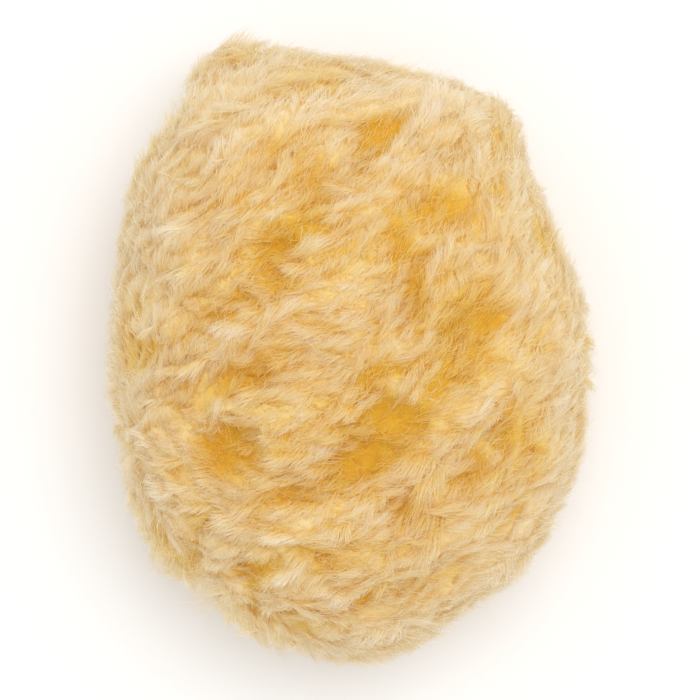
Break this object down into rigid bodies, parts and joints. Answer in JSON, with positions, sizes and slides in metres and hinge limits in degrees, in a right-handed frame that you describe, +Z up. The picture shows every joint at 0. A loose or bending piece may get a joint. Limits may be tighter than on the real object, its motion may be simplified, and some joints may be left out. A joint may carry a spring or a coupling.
{
  "type": "sea sponge",
  "caption": "Natural sea sponge, a rounded fluffy bath sponge of soft golden-cream tufted fibres, lying on the flat face where it was cut from its rock.",
  "frame": {"origin": "centre of the bounding box in X and Y, on the flat cut face that the sponge rests on", "axes": "+X across the sponge along its shorter horizontal side; +Y along the longest dimension, towards the straighter end that carries the corner knob; +Z up, from the cut face to the crown"},
  "size_m": [0.0988, 0.1264, 0.071],
  "materials": {
    "spongin": "matte, fine soft fibres in tufts, deeper gold between them"
  },
  "bodies": {
    "root": {"sea_sponge": "spongin"}
  },
  "joints": []
}
